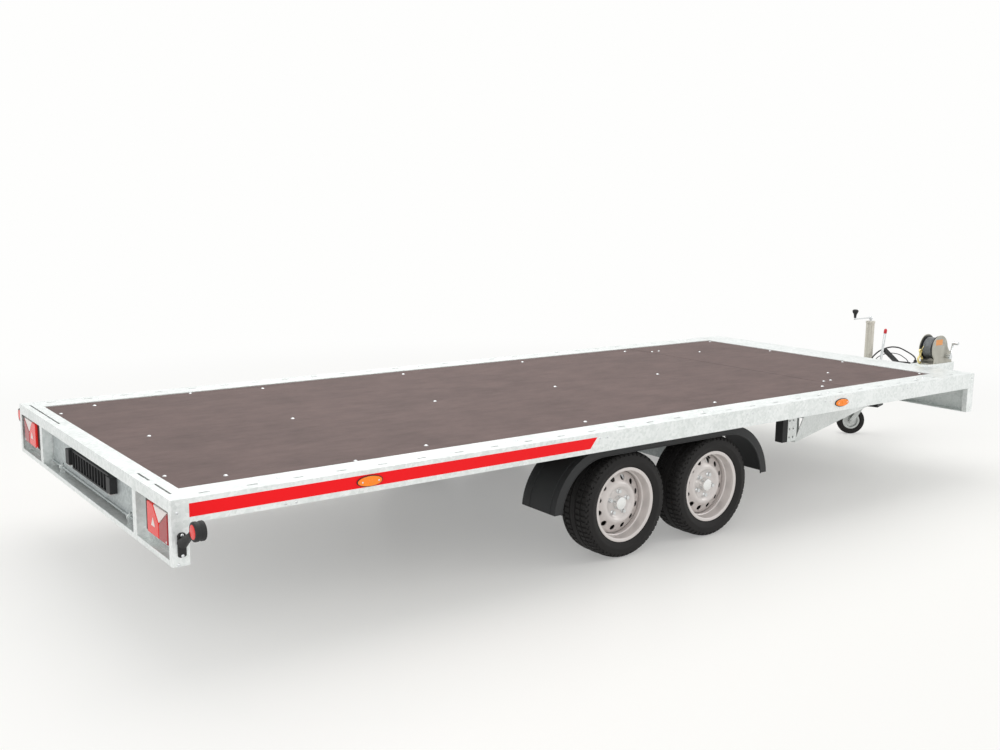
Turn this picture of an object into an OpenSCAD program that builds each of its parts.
// A tandem-axle car hauler trailer, parked on its wheels and jockey wheel.
// Millimetres. +X runs forward to the coupling, +Y to the left, +Z up from the ground.

/* [Platform] */
// Length of the platform frame
plat_len = 5060; // [4600:10:5600]
// Width of the platform frame
plat_w = 2100; // [2060:10:2300]
// Height of the platform's top flange above the ground
deck_h = 665; // [660:5:720]
// Height of the side rail's outer face
rail_h = 90; // [85:1:110]
// Thickness of the folded sheet steel
sheet_t = 4; // [3:0.5:5]
// Width of the side flange beside the deck
side_flange = 141; // [120:1:160]
// Depth of the top flange behind the deck
rear_flange = 81; // [75:1:95]
// Depth of the top flange in front of the deck
front_flange = 258; // [200:1:300]
// Width of the ledge that carries the deck's edge
ledge_w = 30; // [20:1:40]
// Width of the lips along the lower edges
lip_w = 25; // [15:1:35]

/* [Cross beams] */
// Height of the rear and front beams
beam_h = 240; // [230:1:250]
// Depth of the rear beam's box
rear_box_d = 100; // [95:1:130]
// Width of the corner posts seen from the side
post_w = 63; // [55:1:70]
// Height of the strip over the lamps
top_strip_h = 47; // [35:1:52]
// Height of the lip under the lamps
low_lip_h = 20; // [15:1:24]
// Distance from the centre to the lamp bay
bay_y = 680; // [660:1:700]
// Width of the posts between the bays
divider_w = 40; // [30:1:50]
// Number of cross members under the deck
cross_n = 8; // [7:1:9]
// Width of a cross member
cross_w = 45; // [35:1:60]
// Height of the long beams under the cross members
long_h = 120; // [110:1:130]
// Width of the long beams
long_w = 50; // [40:1:60]
// Distance from the centre line to a long beam
long_y = 600; // [590:5:615]

/* [Deck] */
// Thickness of the deck boards
deck_t = 18; // [15:1:21]
// Drop of the deck's face below the flanges
deck_drop = 4; // [2:0.5:6]
// Gap round the deck boards
deck_gap = 1; // [0.5:0.5:2]
// Length of the rear deck board
main_board_len = 3907; // [3600:1:4000]

/* [Lashing slots] */
// Length of a lashing slot
slot_len = 45; // [35:1:60]
// Width of a lashing slot
slot_w = 10; // [8:1:14]
// Distance between lashing slots
slot_pitch = 182; // [170:1:250]
// Distance from the platform's side to the slots
slot_inset = 45; // [30:1:50]

/* [Wheels] */
// Outer radius of the tyres
tyre_r = 262.5; // [255:0.5:266]
// Width of the tyres
tyre_w = 195; // [175:5:205]
// Radius of the rim's flange
rim_r = 182.5; // [175:0.5:190]
// Distance from the centre line to the rim's outer face
rim_face_y = 950; // [950:1:960]
// Distance between the axles
axle_gap = 598; // [590:1:640]
// Distance from the platform's middle to the middle of the axles
axle_shift = 2; // [-60:1:60]
// Radius of the stub axle
stub_r = 20; // [16:1:24]
// Running clearance round the stub axle
stub_clear = 0.05; // [0.02:0.01:0.1]
// Number of vents round the rim
vent_n = 12; // [10:1:14]
// Width of the axle tubes
axle_tube = 80; // [70:1:90]

/* [Mudguards] */
// Radius of the mudguard's round ends
guard_r = 305; // [300:1:312]
// Distance from the middle of the axles to each end's centre
guard_reach = 418; // [400:2:440]
// Offset of the mudguard behind the middle of the axles
guard_shift = 44; // [20:2:60]
// Width of the mudguard
guard_w = 240; // [235:1:245]
// Thickness of the mudguard's wall
guard_t = 5; // [4:0.5:7]
// Depth of the mudguard's outer rim
guard_rim = 42; // [25:1:45]
// Height of the mudguard's ends above the ground
guard_end_z = 292; // [270:1:320]
// Gap between the mudguard's top and the rail's lower edge
guard_gap = 3; // [2:0.5:5]

/* [Drawbar] */
// Reach of the drawbar in front of the platform
drawbar_reach = 1040; // [1000:10:1200]
// Height of the drawbar beams
draw_h = 130; // [120:1:134]
// Width of the drawbar beams
draw_w = 50; // [45:1:60]
// Distance from the platform's rear end to the drawbar's rear ends
draw_rear = 3890; // [3800:10:3950]
// Distance from the centre line to the drawbar's rear ends
draw_rear_y = 606; // [600:2:612]
// Distance from the coupling's tip to the drawbar's front end
draw_front = 520; // [510:5:560]
// Distance from the centre line to the drawbar's front ends
draw_front_y = 48; // [48:1:60]

/* [Coupling] */
// Radius of the tow ball that the head fits
ball_r = 25; // [25:0.1:25.4]
// Clearance round the tow ball
ball_clear = 0.5; // [0.2:0.1:1]
// Outer radius of the coupling's head
head_r = 44; // [40:1:50]
// Radius of the draw tube
draw_tube_r = 25; // [22:0.5:28]
// Height of the draw tube's axis above the drawbar
draw_tube_lift = 52; // [50:1:60]
// Length of the brake lever
lever_len = 302; // [250:2:320]

/* [Jockey wheel] */
// Radius of the jockey wheel
jockey_r = 100; // [90:1:105]
// Width of the jockey wheel
jockey_w = 50; // [40:1:60]
// Radius of the jockey's outer tube
jockey_tube_r = 30; // [26:0.5:31]
// Height of the jockey's tube top above the ground
jockey_top = 840; // [800:10:900]
// Distance from the castor's axis to the wheel's centre
jockey_trail = 100; // [70:5:110]
// Direction that the castor trails, from straight ahead
jockey_turn = 142; // [130:1:150]
// Travel of the leg upwards
jockey_up = 80; // [40:5:80]
// Travel of the leg downwards
jockey_down = 120; // [60:5:140]

/* [Winch] */
// Distance from the centre line to the winch
winch_y = 686; // [640:2:720]
// Length of the winch's base
winch_len = 240; // [220:5:280]
// Width between the winch's side plates
winch_w = 96; // [90:1:110]
// Radius of the drum's flanges
drum_flange_r = 80; // [70:1:82]
// Radius of the rope wound on the drum
rope_r = 66; // [50:1:70]
// Length of the winch's crank
crank_len = 90; // [80:5:120]

/* [Lamps and plate] */
// Width of a tail lamp
lamp_w = 258; // [230:1:270]
// Height of a tail lamp
lamp_h = 128; // [100:1:130]
// Depth of a tail lamp
lamp_d = 38; // [30:1:45]
// Width of the number plate holder
plate_w = 530; // [500:5:560]
// Height of the number plate holder
plate_h = 84; // [75:1:88]
// Length of a side marker
marker_len = 115; // [90:1:130]
// Height of a side marker
marker_h = 45; // [35:1:50]
// Radius of an outline lamp
outline_r = 35; // [30:1:38]

/* [Hidden] */
$fn = 48;
// Small overlap that makes cuts pass through a face
eps = 1;
galv = [0.80, 0.82, 0.81];

// Whole length and the platform's ends
overall = plat_len + drawbar_reach;
x_rear = -overall / 2;
x_front = x_rear + plat_len;
x_tip = overall / 2;
half_w = plat_w / 2;

// Heights of the frame's members
deck_top = deck_h - deck_drop;
deck_low = deck_top - deck_t;
ledge_z = deck_low - sheet_t;
rail_low = deck_h - rail_h;
cross_low = rail_low + sheet_t;
beam_low = deck_h - beam_h;
long_top = cross_low;
long_low = long_top - long_h;
draw_top = beam_low;
draw_low = draw_top - draw_h;

// Edges of the deck opening
deck_x0 = x_rear + rear_flange;
deck_x1 = x_front - front_flange;
deck_y = half_w - side_flange;
board_seam = deck_x0 + main_board_len;

// Wheels and axles
axle_x = [x_rear + plat_len / 2 + axle_shift - axle_gap / 2,
          x_rear + plat_len / 2 + axle_shift + axle_gap / 2];
axle_mid = (axle_x[0] + axle_x[1]) / 2;
axle_z = tyre_r;
arm_reach = 140;
arm_lift = 80;
tube_z = axle_z + arm_lift;
rim_half = tyre_w / 2 - 8;
flange_out = rim_half - 4;
flange_in = rim_half - 10;
wheel_y = rim_face_y - flange_out;
guard_top = rail_low - guard_gap;
guard_z = guard_top - guard_r;
guard_mid = axle_mid - guard_shift;
stay_x = guard_reach - 60;
saddle_t = 8;
drum_r = 110;
drum_y0 = wheel_y - 88;
stub_y1 = wheel_y + 30;

// Drawbar beams and the frame that follows them
draw_x0 = x_rear + draw_rear;
draw_x1 = x_tip - draw_front;
draw_run = draw_x1 - draw_x0;
draw_turn = atan2(draw_rear_y - draw_front_y, draw_run);
draw_len = sqrt(draw_run * draw_run + pow(draw_rear_y - draw_front_y, 2));
draw_heel = 18;
draw_slant = 120;

// Stored ramps
ramp_len = 2300;
ramp_w = 300;
ramp_h = 60;
ramp_y = 300;
ramp_x0 = x_rear + rear_box_d + 12;
ramp_z = long_low + sheet_t + 6;

// Coupling
tube_axis_z = draw_top + draw_tube_lift;
ball_x = x_tip - head_r;
ball_z = tube_axis_z - 6;
housing_x0 = draw_x1 - 200;
housing_x1 = draw_x1 + 100;
bellows_x1 = housing_x1 + 110;
lever_x = housing_x0 + 155;
lever_y = -62;
lever_z = tube_axis_z + 40;

// Jockey wheel
jockey_x = draw_x1 + 58;
jockey_y = 106;
fork_top = 2 * jockey_r + 34;

// Winch
winch_x0 = x_front + 30;
winch_z = deck_h + 8;
plate_r = drum_flange_r + 7;
drum_x = winch_x0 + plate_r + 4;
drum_z = winch_z + plate_r + 9;
pinion_x = drum_x + 86;
pinion_z = drum_z - 55;
lobe_x = drum_x + 108;

// A box given by its lowest and highest corners.
module block(x0, x1, y0, y1, z0, z1) {
    translate([x0, y0, z0])
        cube([x1 - x0, y1 - y0, z1 - z0]);
}

// A rod along X, Y or Z from its starting point.
module rod_x(r, len) { rotate([0, 90, 0]) cylinder(r = r, h = len); }
module rod_y(r, len) { rotate([-90, 0, 0]) cylinder(r = r, h = len); }

// A flat outline in X and Z given a thickness along Y.
module side_plate(t) { rotate([90, 0, 0]) translate([0, 0, -t]) linear_extrude(t) children(); }

// A flat outline in Y and Z given a length along X.
module run_x(len) { rotate([90, 0, 90]) linear_extrude(len) children(); }

// A slot with round ends, centred, along X, cut through a flange that lies level.
module level_slot(len, w, h) {
    translate([-(len - w) / 2, -w / 2, 0]) cube([len - w, w, h]);
    for (s = [-1, 1]) translate([s * (len - w) / 2, 0, 0]) cylinder(d = w, h = h, $fn = 24);
}

module both_sides() {
    children();
    mirror([0, 1, 0]) children();
}

// The side rail's section: outer face, top flange, step beside the deck, ledge and lip.
module rail_section() {
    translate([-half_w, rail_low]) square([sheet_t, rail_h]);
    translate([-half_w, deck_h - sheet_t]) square([side_flange, sheet_t]);
    translate([-deck_y - sheet_t, ledge_z]) square([sheet_t, deck_h - ledge_z]);
    translate([-deck_y - sheet_t, ledge_z]) square([ledge_w + sheet_t, sheet_t]);
    translate([-half_w, rail_low]) square([lip_w, sheet_t]);
}

rail_x0 = x_rear + post_w;
rail_x1 = x_front - post_w;
slot_n = floor((rail_x1 - rail_x0 - slot_pitch) / slot_pitch);
slot_x0 = rail_x0 + 75;
slot_y = half_w - slot_inset;

module rail() {
    difference() {
        translate([rail_x0, 0, 0]) run_x(rail_x1 - rail_x0) rail_section();
        for (i = [0 : slot_n])
            translate([slot_x0 + i * slot_pitch, -slot_y, deck_h - sheet_t - eps])
                level_slot(slot_len, slot_w, sheet_t + 2 * eps);
        // The ledge ends where the rear and front beams' ledges begin
        for (x = [[rail_x0 - eps, deck_x0], [deck_x1, rail_x1 + eps]])
            block(x[0], x[1], -deck_y, -deck_y + ledge_w + eps, ledge_z - eps, ledge_z + sheet_t + eps);
    }
}

module rail_right() { color(galv) rail(); }
module rail_left() { color(galv) mirror([0, 1, 0]) rail(); }

// Ramp hooks' slots in the rear flange: middle across the width, and length
hook_slots = [[716, 535], [-676, 130], [-882, 165]];
hook_slot_w = 9;

// The rear beam: a folded box, open to the rear, with lamp bays and a bay for the ramps.
module rear_beam() {
    color(galv) difference() {
        union() {
            // Top flange, the step down to the deck, and the ledge
            block(x_rear, deck_x0, -half_w, half_w, deck_h - sheet_t, deck_h);
            block(deck_x0 - sheet_t, deck_x0, -deck_y, deck_y, ledge_z, deck_h);
            block(deck_x0 - sheet_t, deck_x0 + ledge_w, -deck_y + ledge_w, deck_y - ledge_w,
                  ledge_z, ledge_z + sheet_t);
            // Strip over the lamps and lip under them
            block(x_rear, x_rear + sheet_t, -half_w, half_w, deck_h - top_strip_h, deck_h);
            block(x_rear, x_rear + sheet_t, -half_w, half_w, beam_low, beam_low + low_lip_h);
            // Bottom flange, deeper between the lamp bays' walls, with its upstand
            block(x_rear, x_rear + post_w, -half_w, half_w, beam_low, beam_low + sheet_t);
            block(x_rear, x_rear + rear_box_d, -deck_y, deck_y, beam_low, beam_low + sheet_t);
            block(x_rear + rear_box_d - sheet_t, x_rear + rear_box_d, -bay_y, bay_y,
                  beam_low, ramp_z - sheet_t);
            both_sides() {
                // Corner post with its face and inner return
                block(x_rear, x_rear + post_w, half_w - sheet_t, half_w, beam_low, deck_h);
                block(x_rear, x_rear + sheet_t, half_w - 30, half_w, beam_low, deck_h);
                block(x_rear + post_w - sheet_t, x_rear + post_w, half_w - 30, half_w, beam_low, deck_h);
                // Post between the lamp bay and the ramp bay
                block(x_rear, x_rear + sheet_t, bay_y - divider_w, bay_y, beam_low, deck_h);
                block(x_rear, x_rear + rear_box_d, bay_y - sheet_t, bay_y, beam_low, ledge_z);
                block(x_rear, deck_x0 - sheet_t, bay_y - sheet_t, bay_y, beam_low, deck_h - sheet_t);
                block(x_rear, x_rear + rear_box_d, bay_y - divider_w, bay_y - divider_w + sheet_t,
                      beam_low, ledge_z);
                // Plate that carries the lamp
                block(lamp_x1, lamp_x1 + sheet_t, bay_y - sheet_t, half_w, beam_low, deck_h - sheet_t);
                // Rear wall of the box behind the lamp bay
                block(x_rear + rear_box_d - sheet_t, x_rear + rear_box_d, bay_y - sheet_t, deck_y,
                      beam_low, ledge_z);
            }
            flap_eyes();
        }
        // Long slots in the top flange for the ramp hooks
        for (s = hook_slots)
            translate([x_rear + 33, s[0], deck_h - sheet_t - eps])
                rotate([0, 0, 90]) level_slot(s[1], hook_slot_w, sheet_t + 2 * eps);
        // The side rails' flanges lie here
        both_sides()
            block(rail_x0, deck_x0 + eps, deck_y, half_w + eps, rail_low, deck_h + eps);
    }
}

// The front beam: face, top flange, ledge, bottom lip and corner posts.
module front_beam() {
    color(galv) difference() {
        union() {
            block(x_front - sheet_t, x_front, -half_w, half_w, beam_low, deck_h);
            block(deck_x1, x_front, -half_w, half_w, deck_h - sheet_t, deck_h);
            block(deck_x1, deck_x1 + sheet_t, -deck_y, deck_y, ledge_z, deck_h);
            block(deck_x1 - ledge_w, deck_x1 + sheet_t, -deck_y + ledge_w, deck_y - ledge_w,
                  ledge_z, ledge_z + sheet_t);
            block(x_front - post_w, x_front, -half_w, half_w, beam_low, beam_low + sheet_t);
            both_sides() {
                block(x_front - post_w, x_front, half_w - sheet_t, half_w, beam_low, deck_h);
                block(x_front - post_w, x_front - post_w + sheet_t, half_w - 30, half_w, beam_low, deck_h);
            }
        }
        // The side rails' flanges lie here
        both_sides()
            block(deck_x1 - eps, rail_x1, deck_y, half_w + eps, rail_low, deck_h + eps);
        both_sides() for (y = [790, 935])
            translate([x_front - 27, y, deck_h - sheet_t - eps])
                rotate([0, 0, 90]) level_slot(slot_len, slot_w, sheet_t + 2 * eps);
    }
}

// Channel cross members under the deck, seated in the rails.
module cross_member() {
    difference() {
        block(0, cross_w, -half_w + sheet_t, half_w - sheet_t, cross_low, deck_low);
        block(-eps, cross_w - sheet_t, -half_w, half_w, cross_low + sheet_t, deck_low - sheet_t);
        both_sides()
            block(-eps, cross_w + eps, deck_y - ledge_w - eps, half_w, ledge_z, deck_h);
    }
}

cross_x0 = x_rear + rear_box_d + 220;
cross_pitch = (x_front - front_flange - 120 - cross_x0) / (cross_n - 1);

module cross_members() {
    color(galv) for (i = [0 : cross_n - 1])
        translate([cross_x0 + i * cross_pitch, 0, 0]) cross_member();
    // Flat bars across the long beams' lower flanges, which the stored ramps lie on
    color(galv) for (x = [ramp_x0 + 150, ramp_x0 + ramp_len - 250])
        block(x, x + 40, -long_y - long_w / 2 + sheet_t, long_y + long_w / 2 - sheet_t,
              long_low + sheet_t, ramp_z);
}

// Channel beams that run the length of the platform and carry the axles.
module long_beam() {
    x0 = x_rear + rear_box_d;
    x1 = x_front - sheet_t;
    difference() {
        block(x0, x1, -long_y - long_w / 2, -long_y + long_w / 2, long_low, long_top);
        block(x0 - eps, x1 + eps, -long_y - long_w / 2 + sheet_t, -long_y + long_w / 2 + eps,
              long_low + sheet_t, long_top - sheet_t);
    }
    // Flat stays that the mudguard is bolted under
    for (s = [-1, 1])
        block(guard_mid + s * stay_x - 15, guard_mid + s * stay_x + 15, -wheel_y - guard_w / 2 + 10,
              -long_y - long_w / 2, guard_top, guard_top + sheet_t);
}

module long_beam_right() { color(galv) long_beam(); }
module long_beam_left() { color(galv) mirror([0, 1, 0]) long_beam(); }

module deck_board(x0, x1) {
    block(x0 + deck_gap, x1 - deck_gap, -deck_y + deck_gap, deck_y - deck_gap, deck_low, deck_top);
}

module deck_main() { color([0.44, 0.38, 0.37]) deck_board(deck_x0, board_seam); }
module deck_front() { color([0.44, 0.38, 0.37]) deck_board(board_seam, deck_x1); }

// One drawbar beam: a channel open to the inside, cut slanting at its rear end, with the
// holed plate that bolts it to the long beam.
module drawbar_beam() {
    translate([draw_x0, -draw_rear_y, 0]) rotate([0, 0, draw_turn]) difference() {
        block(0, draw_len, -draw_w / 2, draw_w / 2, draw_low, draw_top);
        block(-eps, draw_len + eps, -draw_w / 2 + sheet_t, draw_w / 2 + eps,
              draw_low + sheet_t, draw_top - sheet_t);
        translate([0, -draw_w, 0]) side_plate(2 * draw_w) polygon([
            [-eps, draw_low + draw_heel], [draw_slant, draw_top + eps], [-eps, draw_top + eps]]);
    }
    // Inner plate that closes the channel behind the slanting cut
    translate([draw_x0, -draw_rear_y, 0]) rotate([0, 0, draw_turn])
        block(20, draw_slant + 60, draw_w / 2 - sheet_t, draw_w / 2,
              draw_low + sheet_t, draw_top - sheet_t);
    difference() {
        block(draw_x0 - hole_plate, draw_x0 + 14, -long_y - long_w / 2 - sheet_t, -long_y - long_w / 2,
              draw_low + 10, long_low + 60);
        for (x = [18, hole_plate - 14]) for (z = [draw_low + 36 : 50 : long_low - 10])
            translate([draw_x0 - x, -long_y - long_w / 2 - sheet_t - eps, z])
                rod_y(6, sheet_t + 2 * eps);
    }
}

hole_plate = 66;
cap_w = 46;
// Black plastic caps over the plates' rear edges, where the drawbar is bolted on.
module drawbar_caps() {
    color([0.08, 0.08, 0.08]) both_sides()
        block(draw_x0 - hole_plate - cap_w, draw_x0 - hole_plate, long_y - long_w / 2,
              long_y + long_w / 2 + sheet_t, draw_low + 10, long_low);
}

module drawbar_right() { color(galv) drawbar_beam(); }
module drawbar_left() { color(galv) mirror([0, 1, 0]) drawbar_beam(); }

// A torsion axle: square tube, brackets up to the long beams, trailing arms, stubs and plates.
module axle(x) {
    xt = x + arm_reach;
    block(xt - axle_tube / 2, xt + axle_tube / 2, -long_y - 90, long_y + 90,
          tube_z - axle_tube / 2, tube_z + axle_tube / 2);
    both_sides() {
        // Folded saddle bracket
        for (y = [long_y - long_w / 2, long_y + long_w / 2 - saddle_t])
            block(xt - 60, xt + 60, y, y + saddle_t, tube_z - 10, long_low);
        block(xt - 60, xt + 60, long_y - long_w / 2, long_y + long_w / 2, long_low - saddle_t, long_low);
        // Trailing arm with round ends
        translate([0, long_y + 90, 0]) side_plate(26) {
            translate([xt, tube_z]) circle(r = 38);
            translate([x, axle_z]) circle(r = 32);
            translate([x, axle_z]) rotate(atan2(arm_lift, arm_reach))
                translate([0, -28]) square([sqrt(arm_reach * arm_reach + arm_lift * arm_lift), 56]);
        }
        // Brake back plate and stub axle
        translate([x, long_y + 116, axle_z]) rod_y(drum_r - 4, drum_y0 - 6 - long_y - 116);
        translate([x, long_y + 116, axle_z]) rod_y(stub_r, stub_y1 - long_y - 116);
    }
}

module axle_rear() { color([0.70, 0.72, 0.71]) axle(axle_x[0]); }
module axle_front() { color([0.70, 0.72, 0.71]) axle(axle_x[1]); }

// The tandem mudguard's outline: two round ends joined by a flat top.
module guard_outline(r) {
    for (s = [-1, 1]) translate([guard_mid + s * guard_reach, guard_z]) circle(r = r, $fn = 96);
    translate([guard_mid - guard_reach, guard_z - r]) square([2 * guard_reach, 2 * r]);
}

module guard_cut() {
    translate([guard_mid - 2 * guard_reach, guard_end_z - 2 * guard_r])
        square([4 * guard_reach, 2 * guard_r]);
}

module guard_skin(depth, len) {
    side_plate(len) difference() {
        guard_outline(guard_r);
        guard_outline(guard_r - depth);
        guard_cut();
    }
}

// The shell over both tyres and its deeper outer rim.
module mudguard() {
    translate([0, -wheel_y - guard_w / 2, 0]) guard_skin(guard_t, guard_w);
    translate([0, -wheel_y - guard_w / 2, 0]) guard_skin(guard_rim, guard_t);
}

module mudguard_right() { color([0.12, 0.12, 0.12]) mudguard(); }
module mudguard_left() { color([0.12, 0.12, 0.12]) mirror([0, 1, 0]) mudguard(); }

// Wheel profiles are drawn from the wheel's middle plane, with outwards as +Y.
// Points along an arc, from angle a0 to a1, in n steps.
function arc(cx, cy, r, a0, a1, n) =
    [for (i = [0 : n]) let (a = a0 + (a1 - a0) * i / n) [cx + r * cos(a), cy + r * sin(a)]];

// The tyre's section: bead inside the flange, bulged walls, round shoulders, crowned tread.
module tyre_section() {
    half = [
        [rim_r - 15.7, flange_in - 0.3],
        [rim_r + 0.6, flange_in - 0.3],
        [rim_r + 8, flange_out + 2],
        [rim_r + 30, tyre_w / 2]
    ];
    shoulder = arc(tyre_r - 27, tyre_w / 2 - 29, 24, 80, 10, 3);
    polygon(concat(
        half, shoulder, [[tyre_r, 0]],
        [for (i = [len(shoulder) - 1 : -1 : 0]) [shoulder[i][0], -shoulder[i][1]]],
        [for (i = [len(half) - 1 : -1 : 0]) [half[i][0], -half[i][1]]]
    ));
}

module tyre() { rotate([-90, 0, 0]) rotate_extrude($fn = 72) tyre_section(); }

// The disc's face as radius and distance outwards: bolt face, crown, cone and vent ring.
disc_line = [[stub_r + 12, 28], [70, 28], [82, 42], [96, 42], [110, 31], [140, 16], [rim_r - 20, 8]];
vent_at = 124;
vent_r = 13;
disc_t = 5;
module rim_section() {
    // Barrel and flanges
    translate([rim_r - 22, -flange_out]) square([6, 2 * flange_out]);
    for (y = [-flange_out, flange_in]) translate([rim_r - 22, y]) square([22, flange_out - flange_in]);
    polygon(concat(
        [for (p = disc_line) [p[0], p[1] + disc_t]],
        [for (i = [len(disc_line) - 1 : -1 : 0]) disc_line[i]]
    ));
}

bolt_face = disc_line[0][1] + disc_t;
module wheel_centre() {
    back = drum_y0 - wheel_y;
    difference() {
        union() {
            rotate([-90, 0, 0]) rotate_extrude($fn = 72) rim_section();
            // Brake drum, hub and cap
            translate([0, back, 0]) rod_y(drum_r, disc_line[0][1] - back - 30);
            translate([0, back, 0]) rod_y(66, disc_line[0][1] - back);
            translate([0, back, 0]) rod_y(stub_r + 14, bolt_face + 26 - back);
            for (i = [0 : 4]) rotate([0, 72 * i, 0]) translate([56, bolt_face - 1, 0]) rod_y(8, 14);
        }
        // Bore for the stub axle, closed by the hub cap
        translate([0, back - eps, 0]) rod_y(stub_r + stub_clear, stub_y1 - drum_y0 + eps + 4);
        // Vents round the disc's outer ring
        for (i = [0 : vent_n - 1]) rotate([0, i * 360 / vent_n, 0])
            translate([vent_at, 0, 0]) rod_y(vent_r, 50);
    }
}

module wheel_place(x, s) {
    translate([x, s * wheel_y, axle_z]) if (s > 0) children(); else mirror([0, 1, 0]) children();
}

module tyre_rear_right() { color([0.14, 0.13, 0.13]) wheel_place(axle_x[0], -1) tyre(); }
module tyre_rear_left() { color([0.14, 0.13, 0.13]) wheel_place(axle_x[0], 1) tyre(); }
module tyre_front_right() { color([0.14, 0.13, 0.13]) wheel_place(axle_x[1], -1) tyre(); }
module tyre_front_left() { color([0.14, 0.13, 0.13]) wheel_place(axle_x[1], 1) tyre(); }
module rim_rear_right() { color([0.78, 0.75, 0.74]) wheel_place(axle_x[0], -1) wheel_centre(); }
module rim_rear_left() { color([0.78, 0.75, 0.74]) wheel_place(axle_x[0], 1) wheel_centre(); }
module rim_front_right() { color([0.78, 0.75, 0.74]) wheel_place(axle_x[1], -1) wheel_centre(); }
module rim_front_left() { color([0.78, 0.75, 0.74]) wheel_place(axle_x[1], 1) wheel_centre(); }

// The loading ramps, stored side by side behind the plate flap.
module ramp() {
    for (y = [-ramp_w / 2, ramp_w / 2 - 40]) difference() {
        block(0, ramp_len, y, y + 40, 0, ramp_h);
        block(-eps, ramp_len + eps, y + (y < 0 ? sheet_t : -eps), y + (y < 0 ? 40 + eps : 40 - sheet_t),
              sheet_t, ramp_h - sheet_t);
    }
    for (i = [0 : 15])
        block(30 + i * 147, 60 + i * 147, -ramp_w / 2 + sheet_t, ramp_w / 2 - sheet_t, 20, 50);
}

module ramps() {
    color(galv) for (s = [-1, 1]) translate([ramp_x0, s * ramp_y, ramp_z]) ramp();
}

// Tail lamps on the plates in the lamp bays, a little behind the beam's face.
lamp_x0 = x_rear + 5;
lamp_x1 = lamp_x0 + lamp_d;
lamp_y = (bay_y + half_w - 30) / 2 + 20;
lamp_z = deck_h - 118;
module tail_lamps() {
    color([0.75, 0.08, 0.10]) both_sides() difference() {
        block(lamp_x0, lamp_x1, lamp_y - lamp_w / 2, lamp_y + lamp_w / 2,
              lamp_z - lamp_h / 2, lamp_z + lamp_h / 2);
        // Groove between the two parts of the lens
        block(lamp_x0 - eps, lamp_x0 + 4, lamp_y - lamp_w / 8, lamp_y - lamp_w / 8 + 3,
              lamp_z - lamp_h / 2 - eps, lamp_z + lamp_h / 2 + eps);
    }
}

// Outline lamps on slanting rubber arms at the corner posts.
outline_x = x_rear + 34;
outline_z = deck_h - 163;
outline_rise = 31;
outline_arm = 142;
outline_foot = 9;
module outline_lamps() {
    color([0.10, 0.10, 0.10]) both_sides() translate([outline_x, half_w, outline_z]) {
        block(-16, 16, 0, outline_foot, -46, 46);
        translate([0, outline_foot - 2, 8]) {
            rotate([outline_rise, 0, 0]) rod_y(11, outline_arm - outline_r / 2);
            translate([-8, outline_arm * cos(outline_rise), outline_arm * sin(outline_rise)])
                rod_x(outline_r, 40);
        }
    }
}

// Amber side markers on the rails.
module side_marker() {
    for (s = [-1, 1]) translate([s * (marker_len - marker_h) / 2, 0, 0]) rod_y(marker_h / 2, 16);
    block(-(marker_len - marker_h) / 2, (marker_len - marker_h) / 2, 0, 16, -marker_h / 2, marker_h / 2);
}

marker_x = [x_rear + 781, x_rear + 3731];
module side_markers() {
    color([1.0, 0.55, 0.05]) both_sides() for (x = marker_x)
        translate([x, half_w, rail_low + rail_h / 2]) side_marker();
}

// The flap over the ramp bay, on a thin rod through two eyes that stand on the beam.
flap_x = x_rear + 42;
flap_z = beam_low + 32;
flap_rod_r = 5;
flap_t = 4;
flap_face = flap_x + flap_rod_r - 1;
flap_h = 150;
flap_half = bay_y - divider_w - 8;
module plate_flap() {
    color(galv) {
        translate([flap_x, -flap_half, flap_z]) rod_y(flap_rod_r, 2 * flap_half);
        difference() {
            block(flap_face, flap_face + flap_t, -flap_half, flap_half, flap_z, flap_z + flap_h);
            for (y = eye_y)
                block(flap_x - 20, flap_x + 20, y - 12, y + 12, flap_z - eps, flap_z + 20);
        }
    }
}

eye_y = [-475, 475];
module flap_eyes() {
    for (y = eye_y) difference() {
        translate([flap_x, y - 5, flap_z]) union() {
            rod_y(14, 10);
            block(-10, 10, 0, 10, beam_low - flap_z, 0);
        }
        translate([flap_x, y - 6, flap_z]) rod_y(flap_rod_r + 0.05, 12);
    }
}

// The black holder for a number plate, a ribbed tray with a lamp at each end.
tray_d = 16;
tray_lift = 40;
tray_ribs = 10;
plate_lamp = 50;
plate_lamp_d = 30;
module plate_holder() {
    z0 = flap_z + tray_lift;
    z1 = z0 + plate_h;
    half = plate_w / 2;
    rib = 6;
    color([0.08, 0.08, 0.08]) {
        block(flap_face - rib, flap_face, -half, half, z0, z1);
        for (z = [z0, z1 - rib]) block(flap_face - tray_d, flap_face, -half, half, z, z + rib);
        for (i = [0 : tray_ribs])
            translate([flap_face - tray_d, -half + i * (plate_w - rib) / tray_ribs, z0])
                cube([tray_d, rib, plate_h]);
        both_sides() block(flap_face - plate_lamp_d, flap_face, half, half + plate_lamp, z0 + tray_d, z1);
    }
}

// Things fixed to a drawbar beam are drawn in its own frame, x along the beam from its rear end.
module on_right_beam() { translate([draw_x0, -draw_rear_y, 0]) rotate([0, 0, draw_turn]) children(); }
chock_s = 1420;

// A wheel chock in its holder on the right drawbar beam.
module wheel_chock() {
    color([0.08, 0.08, 0.08]) on_right_beam() {
        block(chock_s - 60, chock_s + 60, -draw_w / 2 - 8, -draw_w / 2, draw_low + 10, draw_top - 10);
        translate([chock_s - 70, -draw_w / 2 - 88, draw_low + 12]) side_plate(80) difference() {
            polygon([[0, 0], [130, 0], [125, 30], [60, 106], [0, 106]]);
            translate([165, 135]) circle(r = 80);
        }
    }
}

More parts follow.
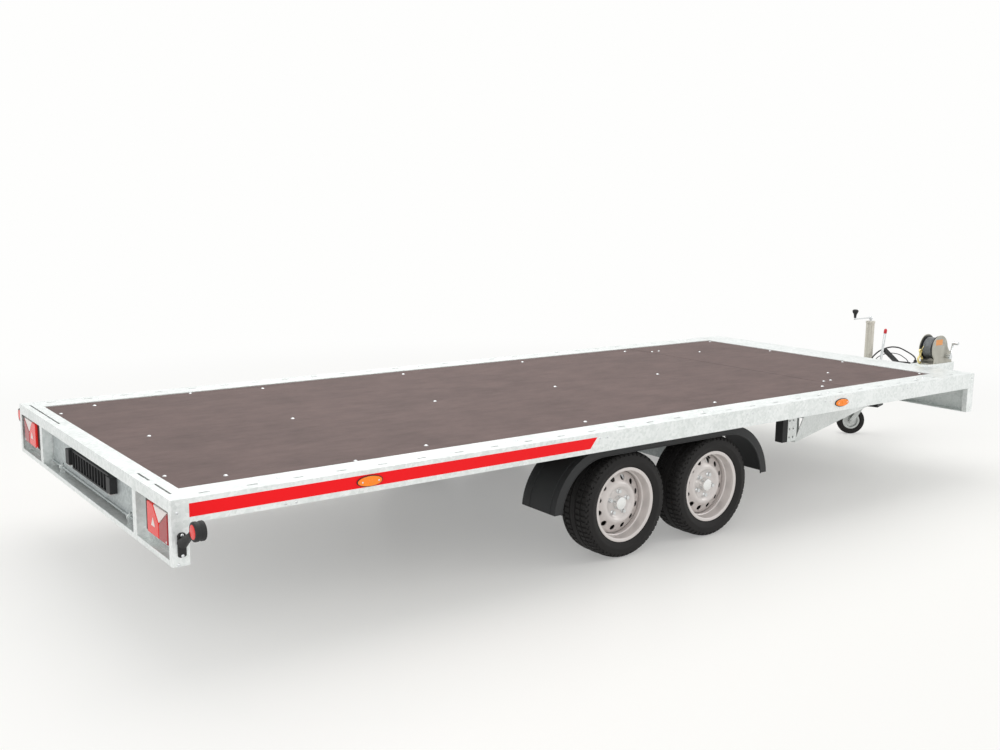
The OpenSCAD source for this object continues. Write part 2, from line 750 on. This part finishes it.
// The overrun coupling's cast housing, bolted across the ends of both drawbar beams.
module coupling_housing() {
    color([0.72, 0.73, 0.72]) {
        difference() {
            union() {
                block(housing_x0, housing_x1 - 20, -68, 68, draw_top, draw_top + 8);
                block(housing_x0 + 10, housing_x1 - 20, -22, 22, draw_top, tube_axis_z);
                translate([housing_x0 + 10, 0, tube_axis_z]) rod_x(36, housing_x1 - housing_x0 - 10);
                translate([housing_x1 - 24, 0, tube_axis_z]) rod_x(43, 24);
                // Boss for the brake lever
                translate([lever_x, lever_y + 14, lever_z - 20]) rod_y(18, 50);
            }
            translate([housing_x1 - 80, 0, tube_axis_z]) rod_x(draw_tube_r + 0.3, 80 + eps);
            for (x = [housing_x0 + 30, housing_x0 + 190]) for (y = [-52, 52])
                translate([x, y, draw_top - eps]) cylinder(r = 7, h = 12);
        }
        translate([lever_x, lever_y - 6, lever_z - 20]) rod_y(7, 30);
        // Cable gland on the base, and the breakaway cable's eye
        translate([housing_x0 + gland_x, gland_y, draw_top + 8]) cylinder(r = 9, h = 14);
        translate([breakaway_x0, 26, tube_axis_z]) cylinder(r = 6, h = 34);
    }
}
gland_x = 200;
gland_y = 56;

// The rubber bellows between the housing and the head.
module bellows() {
    n = 7;
    step = (bellows_x1 - housing_x1) / n;
    color([0.06, 0.06, 0.06]) translate([housing_x1, 0, tube_axis_z]) rotate([0, 90, 0]) rotate_extrude()
        polygon(concat(
            [[draw_tube_r + 1, 0]],
            [for (i = [0 : n - 1]) each [[36, i * step], [44, (i + 0.5) * step]]],
            [[36, n * step], [draw_tube_r + 1, n * step]]
        ));
}

// The draw tube and the pressed head that closes over the tow ball.
module coupling_head() {
    color([0.74, 0.75, 0.76]) {
        translate([housing_x1 - 78, 0, tube_axis_z]) rod_x(draw_tube_r, ball_x - 60 - housing_x1 + 78);
        difference() {
            union() {
                translate([ball_x - 210, 0, tube_axis_z]) rod_x(33, 130);
                block(ball_x - 110, ball_x, -30, 30, tube_axis_z - 28, tube_axis_z + 26);
                translate([ball_x, 0, ball_z]) sphere(r = head_r);
                translate([ball_x, 0, ball_z - 30]) cylinder(r = head_r, h = 30);
            }
            translate([ball_x, 0, ball_z]) sphere(r = ball_r + ball_clear);
            translate([ball_x, 0, ball_z - 60]) cylinder(r = ball_r + ball_clear, h = 60);
        }
    }
}

// The head's release handle: a foot on the head and a grip that leans back, standing open.
module coupling_handle() {
    z0 = tube_axis_z + 33;
    x0 = ball_x - 120;
    color([0.08, 0.08, 0.08]) translate([0, -14, 0]) side_plate(28) {
        polygon([[x0 - 80, z0], [x0 + 41, z0], [x0 + 41, z0 - 7], [x0 + 60, z0 - 7],
                 [x0 + 60, z0 + 12], [x0 - 84, z0 + 30],
                 [x0 - 252, z0 + 138], [x0 - 266, z0 + 118]]);
        translate([x0 - 259, z0 + 128]) circle(r = 12);
    }
}

// The hand brake lever, pulled up, with its grip.
lever_lean = 8.5;
module brake_lever() {
    color([0.76, 0.77, 0.78]) translate([lever_x, lever_y, lever_z - 20]) rotate([0, lever_lean, 0]) {
        difference() {
            translate([0, -4, 0]) rod_y(16, 8);
            translate([0, -4 - eps, 0]) rod_y(7.05, 10);
        }
        block(-10, 10, -4, 4, 15, lever_len - 90);
        translate([0, 0, lever_len - 110]) cylinder(r = 9, h = 110);
        translate([0, 0, lever_len]) sphere(r = 9);
    }
}

// The brake rod under the drawbar and the equaliser bar at the axles.
rod_z = draw_low + draw_h / 2;
bar_x = axle_x[1] + arm_reach + 160;
module brake_rod() {
    color([0.70, 0.71, 0.70]) {
        translate([bar_x, 0, rod_z]) rod_x(6, housing_x0 + 40 - bar_x);
        block(bar_x - 10, bar_x + 10, -90, 90, rod_z - 12, rod_z + 12);
        // Rod guide up to the housing
        block(housing_x0 + 30, housing_x0 + 46, -10, 10, rod_z - 12, draw_top);
    }
}

// The bracket on the head's right side that parks the plug.
park_x = ball_x - 75;
park_y = -62;
park_z = tube_axis_z - 8;
module cable_holder() {
    color([0.08, 0.08, 0.08]) {
        block(park_x - 4, park_x + 14, park_y, -30, park_z, park_z + 5);
        translate([park_x, park_y, park_z]) cylinder(r = 25, h = 10);
    }
}

module cable_plug() {
    color([0.10, 0.10, 0.10]) {
        translate([park_x, park_y, park_z + 10]) cylinder(r = 21, h = 44);
        translate([park_x, park_y, park_z + 54]) cylinder(r = 12, h = 22);
    }
}

// A flexible lead between two upright ends, swept with round rings along its route. The route
// is the height at each share of the way, and side is the share of the way across.
lead_rise = [0, 30, 62, 98, 130, 156, 176, 188, 193, 190, 181, 166, 149, 130, 111, 96, 80];
lead_along = [0, 0, 0.01, 0.03, 0.07, 0.15, 0.24, 0.36, 0.48, 0.58, 0.69, 0.78, 0.85, 0.92, 0.97, 0.99, 1];
lead_side = [0, 0, 0, 0.02, 0.06, 0.12, 0.20, 0.28, 0.36, 0.43, 0.49, 0.56, 0.68, 0.82, 0.94, 1, 1];
module lead(start, stop, rise, r) {
    n = len(lead_rise);
    end_rise = lead_rise[n - 1] * rise;
    pts = [for (i = [0 : n - 1]) [
        start[0] + lead_along[i] * (stop[0] - start[0]),
        start[1] + lead_side[i] * (stop[1] - start[1]),
        start[2] + lead_rise[i] * rise + (stop[2] - start[2] - end_rise) * i / (n - 1)]];
    sides = 8;
    rings = [for (i = [0 : n - 1])
        let (a = pts[max(i - 1, 0)], b = pts[min(i + 1, n - 1)],
             t = i == 0 || i == n - 1 ? [0, 0, i == 0 ? 1 : -1] : (b - a) / norm(b - a),
             u = cross([0, 1, 0], t) / norm(cross([0, 1, 0], t)), v = cross(t, u))
        for (k = [0 : sides - 1])
            pts[i] + r * (cos(k * 360 / sides) * u + sin(k * 360 / sides) * v)];
    polyhedron(points = rings, faces = concat(
        [[for (k = [0 : sides - 1]) k]],
        [for (i = [0 : n - 2]) for (k = [0 : sides - 1])
            let (k1 = (k + 1) % sides, a = i * sides, b = a + sides) [a + k, b + k, b + k1, a + k1]],
        [[for (k = [sides - 1 : -1 : 0]) (n - 1) * sides + k]]));
}

// The seven-core lead from the gland over to the parked plug.
cable_r = 5;
module electric_cable() {
    color([0.05, 0.05, 0.05])
        lead([housing_x0 + gland_x, gland_y, draw_top + 22], [park_x, park_y, park_z + 76], 1, cable_r);
}

// The breakaway cable, from an eye on the housing to one on the head.
breakaway_r = 3;
breakaway_x0 = housing_x0 + 215;
breakaway_x1 = ball_x - 45;
module breakaway_cable() {
    color([0.05, 0.05, 0.05])
        lead([breakaway_x0, 26, tube_axis_z + 34], [breakaway_x1, 12, tube_axis_z + 26], 0.62, breakaway_r);
}

// The jockey wheel's clamp, bolted under the housing's base.
clamp_h = 88;
clamp_z = draw_top - clamp_h;
module jockey_clamp() {
    color([0.70, 0.71, 0.70]) {
        difference() {
            union() {
                block(jockey_x - 22, jockey_x + 22, 30, jockey_y, draw_top - 30, draw_top);
                translate([jockey_x, jockey_y, clamp_z]) cylinder(r = jockey_tube_r + 8, h = clamp_h);
            }
            translate([jockey_x, jockey_y, clamp_z - eps])
                cylinder(r = jockey_tube_r, h = clamp_h + 2 * eps);
        }
        // Clamping handle, from the clamp's wall
        translate([jockey_x + 14, jockey_y + jockey_tube_r + 1, clamp_z + clamp_h / 2]) rod_y(6, 36);
        translate([jockey_x + 14, jockey_y + jockey_tube_r + 33, clamp_z + clamp_h / 2]) rod_x(5, 70);
    }
}

// Jockey wheel: outer tube, sliding leg, swivelling fork, wheel and crank.
jockey_wall = 3;
leg_r = jockey_tube_r - jockey_wall - 0.3;
tube_low = fork_top + jockey_up + 20;
module jockey_tube() {
    color([0.76, 0.77, 0.78]) translate([jockey_x, jockey_y, 0]) difference() {
        union() {
            translate([0, 0, tube_low]) cylinder(r = jockey_tube_r, h = jockey_top - tube_low);
            translate([0, 0, jockey_top - 16]) cylinder(r = jockey_tube_r + 3, h = 16);
        }
        translate([0, 0, tube_low - eps])
            cylinder(r = jockey_tube_r - jockey_wall, h = jockey_top - 6 - tube_low + eps);
        translate([0, 0, jockey_top - 10]) cylinder(r = 8.05, h = 12);
    }
}

module jockey_leg() {
    leg_top = tube_low + jockey_down + 80;
    color([0.74, 0.75, 0.76]) translate([jockey_x, jockey_y, 0]) difference() {
        translate([0, 0, fork_top + 0.5]) cylinder(r = leg_r, h = leg_top - fork_top);
        translate([0, 0, fork_top]) cylinder(r = 10.05, h = 46);
    }
}

module in_castor() { translate([jockey_x, jockey_y, 0]) rotate([0, 0, jockey_turn]) children(); }

fork_y = jockey_w / 2 + 5;
fork_t = 5;
crown_len = 40;
module jockey_fork() {
    color([0.72, 0.73, 0.72]) in_castor() {
        // Crown plate with the swivel pin
        translate([0, 0, fork_top - 10]) cylinder(r = 34, h = 10);
        block(0, crown_len, -fork_y - fork_t, fork_y + fork_t, fork_top - 10, fork_top - 4);
        translate([0, 0, fork_top - 2]) cylinder(r = 10, h = 42);
        // Cheeks down to the wheel's pin
        for (y = [-fork_y - fork_t, fork_y]) translate([0, y, 0]) side_plate(fork_t) {
            translate([jockey_trail, jockey_r]) circle(r = 16);
            polygon([[0, fork_top - 4], [crown_len, fork_top - 4], [jockey_trail + 14, jockey_r + 8],
                     [jockey_trail - 14, jockey_r - 8]]);
        }
        translate([jockey_trail, -fork_y - fork_t - 6, jockey_r])
            rod_y(jockey_pin_r, 2 * (fork_y + fork_t + 6));
    }
}

jockey_pin_r = 8;
jockey_rim_r = 62;
module jockey_rim() {
    color([0.70, 0.71, 0.70]) in_castor() translate([jockey_trail, 0, jockey_r]) rotate([-90, 0, 0])
        rotate_extrude() {
            translate([jockey_pin_r + 0.05, -jockey_w / 2 + 1]) square([10, jockey_w - 2]);
            translate([jockey_pin_r + 8, -5]) square([jockey_rim_r - jockey_pin_r - 8, 10]);
            translate([jockey_rim_r - 14, -jockey_w / 2 + 6]) square([14, jockey_w - 12]);
        }
}

module jockey_tyre() {
    half = [[jockey_rim_r, jockey_w / 2 - 6], [jockey_rim_r + 6, jockey_w / 2]];
    shoulder = arc(jockey_r - 16, jockey_w / 2 - 16, 16, 90, 20, 3);
    color([0.10, 0.10, 0.10]) in_castor() translate([jockey_trail, 0, jockey_r]) rotate([-90, 0, 0])
        rotate_extrude() polygon(concat(
            half, shoulder, [[jockey_r, 0]],
            [for (i = [len(shoulder) - 1 : -1 : 0]) [shoulder[i][0], -shoulder[i][1]]],
            [for (i = [len(half) - 1 : -1 : 0]) [half[i][0], -half[i][1]]]));
}

// The crank on top of the jockey's tube, its arm towards the platform.
jockey_crank_len = 190;
module jockey_crank() {
    z0 = jockey_top + 22;
    color([0.76, 0.77, 0.78]) translate([jockey_x, jockey_y, 0]) {
        translate([0, 0, jockey_top - 12]) cylinder(r = 8, h = 36);
        translate([0, 0, z0 - 8]) cylinder(r = 14, h = 18);
        block(-jockey_crank_len, 0, -9, 9, z0, z0 + 6);
        translate([-jockey_crank_len, 0, z0]) cylinder(r = 9, h = 6);
        translate([-jockey_crank_len, 0, z0 + 6]) cylinder(r = 11, h = 60);
        translate([-jockey_crank_len, 0, z0 + 66]) sphere(r = 11);
    }
}

// The folded bracket that carries the winch in front of the platform.
shelf_t = 8;
shelf_h = 68;
shelf_side = 6;
module winch_bracket() {
    x1 = winch_x0 + winch_len + 18;
    y0 = winch_y0 - shelf_side;
    y1 = winch_y1 + shelf_side;
    color(galv) {
        // Shelf over the front flange's edge, with a folded front and two sides
        block(x_front - 30, x1, y0, y1, deck_h, winch_z);
        block(x1 - 4, x1, y0, y1, winch_z - shelf_h, winch_z);
        for (y = [y0, y1 - 4]) block(x_front, x1, y, y + 4, winch_z - shelf_h, winch_z);
        // Plate bolted to the front beam's face
        block(x_front, x_front + 6, y0, y1, deck_h - 150, winch_z);
    }
}

// The winch's frame: base, two round-topped side plates, and the gear case.
winch_y0 = -winch_y - winch_w / 2;
winch_y1 = winch_y0 + winch_w;
plate_t = 4;
lobe_r = 36;
module winch_frame() {
    color([0.70, 0.71, 0.70]) difference() {
        union() {
            block(winch_x0, winch_x0 + winch_len, winch_y0, winch_y1, winch_z, winch_z + plate_t);
            for (y = [winch_y0, winch_y1 - plate_t]) translate([0, y, 0]) side_plate(plate_t) {
                translate([drum_x, drum_z]) circle(r = plate_r, $fn = 64);
                translate([lobe_x, pinion_z]) circle(r = lobe_r);
                polygon([[drum_x - 60, winch_z + 1], [drum_x - 60, drum_z], [drum_x + 50, drum_z + 60],
                         [lobe_x, pinion_z + lobe_r], [lobe_x + lobe_r, pinion_z],
                         [lobe_x + lobe_r, winch_z + 1]]);
            }
            // Shaft that the drum turns on
            translate([drum_x, winch_y0, drum_z]) rod_y(9, winch_w);
        }
        // Bores for the crank's shaft
        translate([pinion_x, winch_y0 - eps, pinion_z]) rod_y(pinion_shaft_r + 0.05, winch_w + 2 * eps);
    }
}

// Gears: pitch radii set by the distance between the two shafts.
pinion_shaft_r = 9;
gear_ratio = 4.5;
shaft_gap = sqrt(pow(pinion_x - drum_x, 2) + pow(pinion_z - drum_z, 2));
pinion_r = shaft_gap / (gear_ratio + 1);
gear_r = shaft_gap - pinion_r;
gear_y = winch_y0 + plate_t + 3;
gear_t = 10;
drum_in = gear_y + gear_t;
drum_out = winch_y1 - plate_t - 6;
gear_play = 1.5;
module winch_drum() {
    color([0.10, 0.10, 0.11]) translate([drum_x, 0, drum_z]) difference() {
        union() {
            translate([0, gear_y, 0]) rod_y(gear_r - gear_play, gear_t);
            translate([0, drum_in, 0]) rod_y(rope_r, drum_out - drum_in);
            for (y = [drum_in, drum_out]) translate([0, y, 0]) rod_y(drum_flange_r, 3);
        }
        translate([0, gear_y - eps, 0]) rod_y(9.05, winch_w);
    }
}

crank_out = 28;
crank_lean = 12;
grip_len = 34;
module winch_crank() {
    y0 = winch_y0 - crank_out;
    color([0.76, 0.77, 0.78]) translate([pinion_x, 0, pinion_z]) {
        translate([0, y0, 0]) rod_y(pinion_shaft_r, winch_w + crank_out + 2);
        translate([0, gear_y, 0]) rod_y(pinion_r - gear_play, gear_t);
        translate([0, y0, 0]) rod_y(16, 14);
        rotate([0, crank_lean, 0]) {
            block(-8, 8, y0, y0 + 6, 0, crank_len);
            translate([0, y0, crank_len]) rod_y(8, 6);
            translate([0, y0 - grip_len, crank_len]) rod_y(10, grip_len);
        }
    }
}

// The hook at the rope's end, resting on the shelf behind the drum, with the rope's tail.
hook_x = winch_x0 - 16;
hook_y = -winch_y + 22;
hook_r = 21;
hook_wire = 7;
module winch_hook() {
    color([0.80, 0.70, 0.25]) translate([hook_x, hook_y, winch_z]) {
        translate([0, 0, hook_r + hook_wire]) rotate([90, 0, 0])
            rotate_extrude(angle = 290) translate([hook_r, 0]) circle(r = hook_wire, $fn = 24);
        translate([0, 0, 2 * hook_r + hook_wire - 4]) cylinder(r = hook_wire, h = 26);
        translate([0, 0, 2 * hook_r + 40]) rotate([90, 0, 0]) difference() {
            translate([0, 0, -5]) cylinder(r = 14, h = 10);
            translate([0, 0, -6]) cylinder(r = 7, h = 12);
        }
        // Rope from the eye up beside the drum
        translate([8, 0, 2 * hook_r + 48]) rotate([0, 50, 0]) cylinder(r = 2.5, h = 32);
    }
}

rail_right();
rail_left();
rear_beam();
front_beam();
cross_members();
long_beam_right();
long_beam_left();
deck_main();
deck_front();
drawbar_right();
drawbar_left();
drawbar_caps();
axle_rear();
axle_front();
mudguard_right();
mudguard_left();
ramps();
tail_lamps();
outline_lamps();
side_markers();
plate_flap();
plate_holder();
wheel_chock();
coupling_housing();
bellows();
coupling_head();
coupling_handle();
brake_lever();
brake_rod();
cable_holder();
electric_cable();
breakaway_cable();
cable_plug();
jockey_clamp();
jockey_tube();
jockey_leg();
jockey_fork();
jockey_rim();
jockey_tyre();
jockey_crank();
winch_bracket();
winch_frame();
winch_drum();
winch_crank();
winch_hook();
tyre_rear_right();
tyre_rear_left();
tyre_front_right();
tyre_front_left();
rim_rear_right();
rim_rear_left();
rim_front_right();
rim_front_left();
